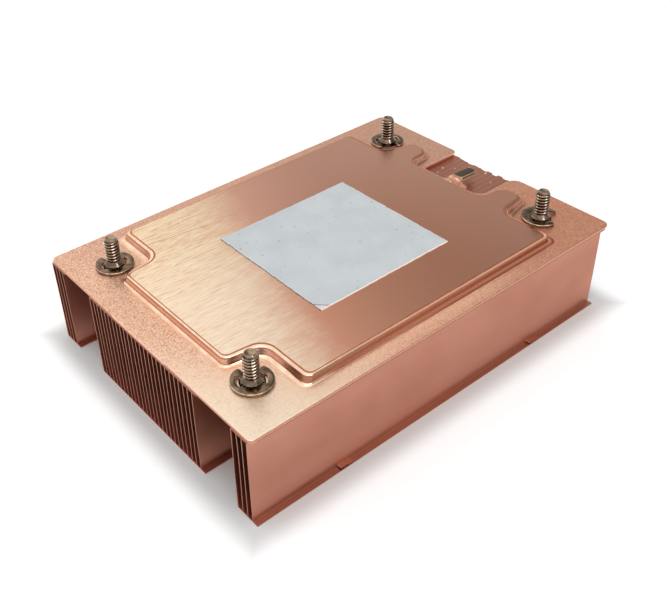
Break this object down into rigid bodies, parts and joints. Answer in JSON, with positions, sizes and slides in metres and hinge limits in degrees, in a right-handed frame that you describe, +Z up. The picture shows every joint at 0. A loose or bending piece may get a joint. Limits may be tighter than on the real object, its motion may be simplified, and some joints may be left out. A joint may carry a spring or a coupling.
{
  "type": "vapor chamber cpu cooler",
  "caption": "Low server processor cooler: a flat copper vapor chamber with a thermal pad, a full-width stack of folded copper fins and captive spring-loaded corner screws.",
  "frame": {"origin": "middle of the plate's outline, on the plane on which the fin bottoms stand", "axes": "+X along the plate's long side towards the end with the fill tube, +Y across the fins, +Z up through the contact face and along the screws"},
  "size_m": [0.111, 0.08, 0.0321],
  "materials": {
    "plate_copper": "matte grainy rim, brushed flat top",
    "fin_copper": "satin rolled sheet",
    "tube_copper": "dull, darkened where pinched",
    "sintered_copper": "rough, porous",
    "pad_silicone": "soft, matte",
    "screw_steel": "dark plated, glossy",
    "clip_steel": "dark spring steel, satin",
    "spring_steel": "bright spring wire"
  },
  "bodies": {
    "cooler": {"chamber_base": "plate_copper", "chamber_cover": "plate_copper", "condenser_wick": "sintered_copper", "evaporator_wick": "sintered_copper", "fill_tube": "tube_copper", "fin_01": "fin_copper", "fin_02": "fin_copper", "fin_03": "fin_copper", "fin_04": "fin_copper", "fin_12": "fin_copper", "fin_13": "fin_copper", "fin_14": "fin_copper", "fin_15": "fin_copper", "fin_16": "fin_copper", "fin_17": "fin_copper", "fin_18": "fin_copper", "fin_19": "fin_copper", "fin_20": "fin_copper", "fin_21": "fin_copper", "fin_22": "fin_copper", "fin_23": "fin_copper", "fin_24": "fin_copper", "fin_25": "fin_copper", "fin_26": "fin_copper", "fin_27": "fin_copper", "fin_28": "fin_copper", "fin_29": "fin_copper", "fin_30": "fin_copper", "fin_31": "fin_copper", "fin_32": "fin_copper", "fin_33": "fin_copper", "fin_34": "fin_copper", "fin_35": "fin_copper", "fin_36": "fin_copper", "fin_37": "fin_copper", "fin_45": "fin_copper", "fin_46": "fin_copper", "fin_47": "fin_copper", "fin_48": "fin_copper", "short_fins_back": "fin_copper", "short_fins_front": "fin_copper", "spring_1": "spring_steel", "spring_2": "spring_steel", "spring_3": "spring_steel", "spring_4": "spring_steel", "support_posts": "sintered_copper", "thermal_pad": "pad_silicone"},
    "clip_body_1": {"retaining_clip_1": "clip_steel"},
    "screw_body_1": {"screw_1": "screw_steel"},
    "clip_body_2": {"retaining_clip_2": "clip_steel"},
    "screw_body_2": {"screw_2": "screw_steel"},
    "clip_body_3": {"retaining_clip_3": "clip_steel"},
    "screw_body_3": {"screw_3": "screw_steel"},
    "clip_body_4": {"retaining_clip_4": "clip_steel"},
    "screw_body_4": {"screw_4": "screw_steel"}
  },
  "joints": [
    {"name": "screw_1_travel", "type": "slide", "parent": "cooler", "child": "clip_body_1", "axis": [0, 0, 1], "range_m": [0, 0.0035], "stiffness_N_per_m": 8000, "springref_m": -0.002, "deforming": ["spring_1"]},
    {"name": "screw_1_turn", "type": "hinge", "parent": "clip_body_1", "child": "screw_body_1", "pos_m": [-0.045, -0.027, 0.0243], "axis": [0, 0, 1], "continuous": true},
    {"name": "screw_2_travel", "type": "slide", "parent": "cooler", "child": "clip_body_2", "axis": [0, 0, 1], "range_m": [0, 0.0035], "stiffness_N_per_m": 8000, "springref_m": -0.002, "deforming": ["spring_2"]},
    {"name": "screw_2_turn", "type": "hinge", "parent": "clip_body_2", "child": "screw_body_2", "pos_m": [-0.045, 0.027, 0.0243], "axis": [0, 0, 1], "continuous": true},
    {"name": "screw_3_travel", "type": "slide", "parent": "cooler", "child": "clip_body_3", "axis": [0, 0, 1], "range_m": [0, 0.0035], "stiffness_N_per_m": 8000, "springref_m": -0.002, "deforming": ["spring_3"]},
    {"name": "screw_3_turn", "type": "hinge", "parent": "clip_body_3", "child": "screw_body_3", "pos_m": [0.045, -0.027, 0.0243], "axis": [0, 0, 1], "continuous": true},
    {"name": "screw_4_travel", "type": "slide", "parent": "cooler", "child": "clip_body_4", "axis": [0, 0, 1], "range_m": [0, 0.0035], "stiffness_N_per_m": 8000, "springref_m": -0.002, "deforming": ["spring_4"]},
    {"name": "screw_4_turn", "type": "hinge", "parent": "clip_body_4", "child": "screw_body_4", "pos_m": [0.045, 0.027, 0.0243], "axis": [0, 0, 1], "continuous": true}
  ]
}
